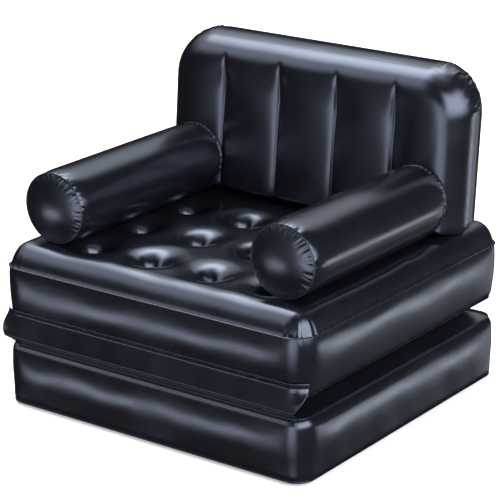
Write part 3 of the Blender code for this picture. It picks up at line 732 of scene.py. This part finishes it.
def arm_tube(name, x, replaces, seed):
    """The tube of an arm, from its rear weld to its front weld."""
    run = graded(0.0, 1.0, 0.0085, 0.0040, (0.0, 1.0), 0.10)
    span = run * arm_run
    near = np.minimum(span, arm_run - span)
    share = np.clip(near / arm_round, 0.0, 1.0)
    radius = arm_seam + (arm_radius - arm_seam) * np.sqrt(1.0 - (1.0 - share) ** 2)
    run = np.concatenate(([0.0, 0.0], run, [1.0, 1.0]))
    wide, height = arm_rings(x, np.concatenate((arm_lip, radius, arm_lip[::-1])))
    rear = arm_rear(height) - lip - film
    front = arm_front + lip
    grid = np.dstack((wide, rear + (front - rear) * run[:, None], height))
    from_rear = (run * arm_run)[:, None]
    from_front = ((1.0 - run) * arm_run)[:, None]
    amount = pleats(arm_around, from_front, arm_girth, spacing=0.013, seed=seed,
                    depth=0.0020, reach=0.030, width=0.0032)
    amount = amount + pleats(arm_around, from_rear, arm_girth, spacing=0.013, seed=seed + 1,
                             depth=0.0022, reach=0.034, width=0.0032)
    free = np.minimum(from_rear, from_front)
    uneven = 0.0003 * ripple(grid * (1, 0.45, 1), wavelength=0.12, seed=seed + 2)
    amount = amount + uneven * np.clip(free / 0.04, 0.0, 1.0)
    film_piece(name, pushed(grid, amount, wrap=True), near_weld(free), wrap=True, replaces=replaces)


def arm_disc(name, x, replaces, seed, front):
    """A disc that closes an arm, domed in front and flat against the backrest behind."""
    quarter, flatness = np.linspace(0, math.pi / 2, 200), 0.2
    inner = even(np.stack([np.cos(quarter), np.sin(quarter) * flatness], axis=1), 34)
    radius = np.concatenate((arm_lip, arm_seam * inner[:, 0]))
    profile = 0.7 * (1 - inner[:, 0] ** 2) + 0.3 * inner[:, 1] / flatness
    dome = np.concatenate(([0.0, 0.0], disc_dome * profile))
    wide, height = arm_rings(x, radius)
    away = np.maximum(arm_seam - radius, 0.0)[:, None]
    gather = pleats(arm_around, away, arm_girth, spacing=0.0125, seed=seed,
                    depth=0.0032, reach=0.028, width=0.0030)
    if front:
        depth = arm_front - lip - dome[:, None] - gather * np.clip(away / 0.003, 0.0, 1.0)
        grid = np.dstack((wide, depth + 0.0 * wide, height))
    else:
        grid = np.dstack((wide, arm_rear(height), height))[::-1]
    weld = near_weld(away)
    film_piece(name, grid, weld if front else weld[::-1], wrap=True, replaces=replaces, poles=True)


for side_name, x in (("left", -arm_place), ("right", arm_place)):
    seed = 91 if x < 0 else 101
    arm_tube(f"arm_tube_{side_name}", x, (f"arm_skin_{side_name}",), seed)
    arm_disc(f"arm_front_{side_name}", x, (f"arm_front_disc_{side_name}",), seed + 5, front=True)
    arm_disc(f"arm_rear_{side_name}", x, (f"arm_rear_disc_{side_name}",), seed + 6, front=False)

# %% [markdown]
# A strip of film along the front ties the base to the seat and lets it swing out. It hangs a
# little slack, with a crease along the fold. Past the mattresses' round corners its ends hang
# free as small flaps. Here it is built where it lies and rides on no body.


# %% Hinge web
def on_side(curve, away):
    """The inset of a web that lies on a mattress's side, at a height from its widest line."""
    clearance = film + gap + 0.0010
    return float(np.interp(away, curve[:, 1], curve[:, 0])) - clearance


def web_curve():
    """Insets and heights of the web, from its weld on the base over the crease to the seat."""
    on_base = [(on_side(base_high[0], h - base_widest), h) for h in (0.160, 0.168, 0.174)]
    on_seat = [(on_side(seat_low[0], seat_widest - h), h) for h in (0.258, 0.264, 0.272)]
    crease = (-0.0100, 0.2020)
    low, high = on_base[-1], on_seat[0]
    slack = [(low[0] * 0.55 + crease[0] * 0.45 + 0.0010, low[1] * 0.55 + crease[1] * 0.45),
             (-0.0086, 0.1990), (-0.0097, 0.2004), crease, (-0.0096, 0.2042), (-0.0082, 0.2110),
             (crease[0] * 0.5 + high[0] * 0.5, 0.2300), (high[0] - 0.0012, 0.2500)]
    return even(np.array(on_base + slack + on_seat, dtype=float), 64)


def hinge_web_skin():
    """The web, a little wider at the seat than at the base."""
    section = web_curve()
    front = plan_length / 2
    # It reaches 64 degrees round the corners at the seat, and 28 at the base.
    half_run = half_width - corner_radius + corner_radius * np.radians(
        64 - 36 * np.clip((0.252 - section[:, 1]) / 0.060, 0.0, 1.0))
    share = graded(-1.0, 1.0, 0.0085, 0.0036, (-1.0, 1.0), 0.10)
    along = front + half_run[:, None] * share[None, :]
    x, y, out_x, out_y = (np.interp(along, plan_along, values) for values in (*plan_points.T, *plan_out.T))
    inset, height = section[:, 0][:, None], section[:, 1][:, None]
    straight = half_width - corner_radius
    beyond = np.maximum(np.abs(along - front) - straight, 0.0)
    free = np.clip((height - 0.176) / 0.020, 0.0, 1.0) * np.clip((0.260 - height) / 0.045, 0.0, 1.0)
    free = free * (beyond > 0)
    plan_x, plan_y = x - inset * out_x, y - inset * out_y
    plan_x = plan_x + free * (np.sign(along - front) * (straight + beyond) - plan_x)
    plan_y = plan_y + free * (inset - half_depth - plan_y)
    grid = np.dstack((plan_x, plan_y, height + 0.0 * x))
    loose = np.exp(-((height - 0.222) / 0.024) ** 2) * (1.0 + 1.6 * np.abs(share) ** 12)
    pucker = np.exp(-((height - 0.262) / 0.009) ** 2) * np.exp(-((1.0 - np.abs(share)) / 0.022) ** 2)
    uneven = 0.0007 * ripple(grid * (1, 1, 0.4), wavelength=0.10, seed=121)
    grid = pushed(grid, uneven * loose + 0.0040 * pucker)
    weld = np.clip((0.172 - height) / weld_shine, 0, 1) + np.clip((height - 0.260) / weld_shine, 0, 1)
    film_piece("hinge_web_skin", grid, weld, body=None, replaces=("hinge_web",))
    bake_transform(pieces["hinge_web_skin"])


hinge_web_skin()

# %% [markdown]
# A material is a tree of nodes. One small class lets its sums be written as plain expressions,
# and one function adds every other node, so that each material reads like a formula.


# %% Shader sums
def sum_of(operation, swapped=False):
    """A method that adds one math node."""
    def method(self, other):
        left, right = (other, self) if swapped else (self, other)
        return add_node(self.tree, "ShaderNodeMath", {"operation": operation}, {0: left, 1: right})
    return method


class Value:
    """A shader socket that can be added, multiplied and so on."""

    def __init__(self, tree, socket):
        self.tree, self.socket = tree, socket

    __add__ = __radd__ = sum_of("ADD")
    __mul__ = __rmul__ = sum_of("MULTIPLY")
    __sub__, __rsub__ = sum_of("SUBTRACT"), sum_of("SUBTRACT", swapped=True)
    __truediv__, power = sum_of("DIVIDE"), sum_of("POWER")


def add_node(tree, kind, settings, inputs, output=0):
    """A node with its settings made first, then its sockets. Returns one output."""
    node = tree.nodes.new(kind)
    for key, value in settings.items():
        setattr(node, key, value)
    for key, value in inputs.items():
        if isinstance(value, Value):
            tree.links.new(value.socket, node.inputs[key])
        else:
            node.inputs[key].default_value = value
    return Value(tree, node.outputs[output])


print("sums are written with + - * / and power")

# %% [markdown]
# Black PVC film is nearly black all through. What shows is its gloss: a smooth skin with a very
# fine grain, a little duller in clouds and smears where it has been handled. The welds are
# pressed flat, ribbed and scuffed. The strips inside are of a duller film, and the valves are
# moulded in satin plastic.


# %% Film finish
def smooth(value, low, high):
    """0 below low, 1 above high, with soft ends."""
    limits = {"Value": value, "From Min": low, "From Max": high}
    return add_node(value.tree, "ShaderNodeMapRange", {"interpolation_type": "SMOOTHSTEP"}, limits)


def blend_colours(tree, share, first, second):
    """A mix of two colours by a 0 to 1 value."""
    settings = {"data_type": "RGBA", "clamp_factor": True}
    return add_node(tree, "ShaderNodeMix", settings, {0: share, 6: first, 7: second}, 2)


def noise(tree, place, scale, detail=2.0, roughness=0.5):
    """Noise, about 0.3 to 0.7, at a number of cells per metre."""
    return add_node(tree, "ShaderNodeTexNoise", {}, {"Vector": place, "Scale": scale, "Detail": detail,
                                                      "Roughness": roughness})


def stretched(tree, place, factors):
    """Coordinates pulled out along some axes, for marks with a direction."""
    return add_node(tree, "ShaderNodeVectorMath", {"operation": "MULTIPLY"}, {0: place, 1: factors}, "Vector")


def new_finish(name):
    """A material, its tree, and the place on the piece."""
    material = bpy.data.materials.new(name)
    material.use_nodes = True
    return material, material.node_tree, add_node(material.node_tree, "ShaderNodeTexCoord", {}, {}, "Object")


def connect(tree, rough, tint, height, strength, distance):
    """Put a roughness, a colour and a height into a material's shader."""
    bump = add_node(tree, "ShaderNodeBump", {},
                    {"Height": height, "Strength": strength, "Distance": distance}, "Normal")
    for socket, value in (("Roughness", rough), ("Base Color", tint), ("Normal", bump)):
        tree.links.new(value.socket, tree.nodes["Principled BSDF"].inputs[socket])


def film_finish(name, colour, worn_colour, dull, grain):
    """Film with a fine grain, handling marks, and ribbed and scuffed welds."""
    material, tree, place = new_finish(name)
    weld = add_node(tree, "ShaderNodeAttribute", {"attribute_name": "weld"}, {}, "Fac")
    cloudy = noise(tree, place, 7.0, 4.0, 0.6)
    smears = noise(tree, stretched(tree, place, (1.0, 0.25, 0.6)), 38.0, 3.0, 0.55)
    scuffs = smooth(noise(tree, stretched(tree, place, (0.5, 1.0, 1.0)), 170.0, 3.0), 0.50, 0.72)
    fine = noise(tree, place, 1100.0)
    pebble = noise(tree, place, 420.0, 1.0)
    ribs = add_node(tree, "ShaderNodeTexWave", {"wave_type": "BANDS", "bands_direction": "DIAGONAL"},
                    {"Vector": place, "Scale": 260.0, "Distortion": 0.6}, "Fac")
    hazy = smooth(cloudy, 0.42, 0.66) * 0.045 + smears * 0.05
    rough = (dull - 0.03) + hazy + scuffs * (0.02 + weld * 0.10)
    wear = smooth(cloudy, 0.35, 0.75) * 0.35 + scuffs * weld * 0.5 + weld * 0.15
    tint = blend_colours(tree, wear, (*colour, 1.0), (*worn_colour, 1.0))
    shader = tree.nodes["Principled BSDF"]
    shader.inputs["Specular IOR Level"].default_value = 0.80
    shader.inputs["Specular Tint"].default_value = (0.74, 0.80, 1.0, 1.0)
    height = (fine + pebble * 0.8) * grain * (1 - weld * 0.6) + ribs * weld * 0.9
    connect(tree, rough, tint, height, strength=0.22, distance=0.0003)
    return material


def plastic_finish(name, colour, rubbed_colour):
    """Moulded valve plastic: satin black, with a spark eroded grain and paler rubbed patches."""
    material, tree, place = new_finish(name)
    grain = noise(tree, place, 1500.0, 3.0, 0.6)
    flow = noise(tree, stretched(tree, place, (1.0, 1.0, 0.2)), 60.0, 3.0)
    rubbed = smooth(noise(tree, place, 240.0, 4.0, 0.65), 0.50, 0.70)
    rough = 0.34 + flow * 0.10 + rubbed * 0.08
    tint = blend_colours(tree, rubbed * 0.4 + flow * 0.3, (*colour, 1.0), (*rubbed_colour, 1.0))
    connect(tree, rough, tint, grain + rubbed * 0.3, strength=0.35, distance=0.0002)
    return material


outer = film_finish("glossy_black_film", colour=(0.0045, 0.0045, 0.0065),
                    worn_colour=(0.010, 0.010, 0.013), dull=0.19, grain=1.0)
inner = film_finish("plain_black_film", colour=(0.018, 0.018, 0.020),
                    worn_colour=(0.028, 0.028, 0.030), dull=0.42, grain=1.6)
plastic = plastic_finish("satin_valve_plastic", colour=(0.010, 0.010, 0.012),
                         rubbed_colour=(0.030, 0.030, 0.033))
for name, piece in pieces.items():
    piece.data.materials.append(inner if piece["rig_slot"] == "inner_film" else outer)
for mattress in ("seat", "base"):
    for part in ("body", "cap", "flap"):
        for slot in bpy.data.objects[f"{mattress}_valve_{part}"].material_slots:
            slot.material = plastic
print("finishes:", outer.name, inner.name, plastic.name)

# %% [markdown]
# Black film shows nothing but what it reflects, so the light is a studio drawn round the chair
# by direction. A wide soft box hangs high behind at the left, over a lower one, and a large
# screen stands at the right. In front are a dim box at the left, an upright strip with a glow
# beside it, and a small strip near the floor at each side. Each draws one line or patch of
# light. The rest stays nearly dark. The pale floor glows a little and isn't mirrored.


# %% Stage
def studio(world):
    """Soft boxes by direction, in degrees. Azimuths count from behind towards the right."""
    world.use_nodes = True
    tree = world.node_tree
    way = add_node(tree, "ShaderNodeTexCoord", {}, {}, "Generated")
    split = add_node(tree, "ShaderNodeSeparateXYZ", {}, {"Vector": way}, "X")
    x, y, z = (Value(tree, split.socket.node.outputs[axis]) for axis in "XYZ")
    level = (x * x + y * y + 0.0001).power(0.5)
    height = add_node(tree, "ShaderNodeMath", {"operation": "ARCTAN2"}, {0: z, 1: level}) * (180 / math.pi)

    def turned(middle, half, soft):
        """1 within some degrees of an azimuth, fading over a few more."""
        middle = math.radians(middle)
        toward = (x * math.sin(middle) + y * math.cos(middle)) / level
        full, dark = math.radians(max(half - soft, 0)), math.radians(half + soft)
        return smooth(toward, math.cos(dark), math.cos(full))

    def between(low, high, soft):
        """1 between two elevations."""
        return smooth(height, low - soft, low + soft) * (1 - smooth(height, high - soft, high + soft))

    low_back = turned(-70, 78, 12) * smooth(height, 14, 50) * 2.0
    low_front = turned(-134, 20, 10) * between(24, 44, 14) * 1.15
    high_back = turned(-62, 54, 16) * smooth(height, 45, 60) * 6.0
    high_core = turned(-58, 22, 12) * between(47, 66, 5) * 2.4
    upper_end = 1 - smooth(height, 66, 80)
    right_box = turned(108, 38, 14) * smooth(height, -8, 14) * (1 - smooth(height, 37, 53)) * 6.8
    front_strip = turned(167, 13, 13) * between(-24, 12, 8) * 2.5
    front_glow = turned(-175, 17, 17) * between(-24, 16, 10) * 0.38
    front_core = turned(-178, 9, 8) * between(-20, 8, 8) * 0.9
    low_left = turned(-141, 8, 7) * between(-23, -18.5, 3) * 5.8
    low_right = turned(37, 5, 5) * between(-18.8, -14.8, 2.4) * 6.2
    side_glow = turned(16, 9, 8) * between(-26, -10, 5) * 0.8
    right_glow = turned(34, 22, 16) * between(-40, 6, 10) * 0.07
    ceiling = smooth(height, 62, 80) * (turned(-36, 90, 40) * 1.5 + 0.5)
    light = (low_back + low_front + high_back + high_core) * upper_end + right_box
    light = light + front_strip + front_glow + front_core + low_left + low_right
    light = light + side_glow + right_glow + ceiling + 0.022
    tree.links.new(light.socket, tree.nodes["Background"].inputs["Strength"])
    tree.nodes["Background"].inputs["Color"].default_value = (0.86, 0.93, 1.0, 1.0)


def floor_plane(reach):
    """A wide pale floor that the film doesn't mirror."""
    mesh = bpy.data.meshes.new("floor")
    corners = [(-reach, -reach, 0), (reach, -reach, 0), (reach, reach, 0), (-reach, reach, 0)]
    mesh.from_pydata(corners, [], [(0, 1, 2, 3)])
    floor = bpy.data.objects.new("floor", mesh)
    floor.location.z = -0.0005
    bpy.context.scene.collection.objects.link(floor)
    material = bpy.data.materials.new("pale_floor")
    material.use_nodes = True
    tree = material.node_tree
    shader = tree.nodes["Principled BSDF"]
    shader.inputs["Base Color"].default_value = (0.98, 0.92, 0.86, 1.0)
    shader.inputs["Emission Color"].default_value = (1.0, 1.0, 1.0, 1.0)
    shader.inputs["Emission Strength"].default_value = 0.30
    shader.inputs["Roughness"].default_value = 0.9
    shader.inputs["Specular IOR Level"].default_value = 0.1
    mesh.materials.append(material)
    floor.visible_glossy = False


surround = bpy.data.worlds.new("surround")
bpy.context.scene.world = surround
studio(surround)
floor_plane(reach=14)
bpy.context.scene.view_settings.view_transform = "Standard"
print("studio nodes:", len(surround.node_tree.nodes))
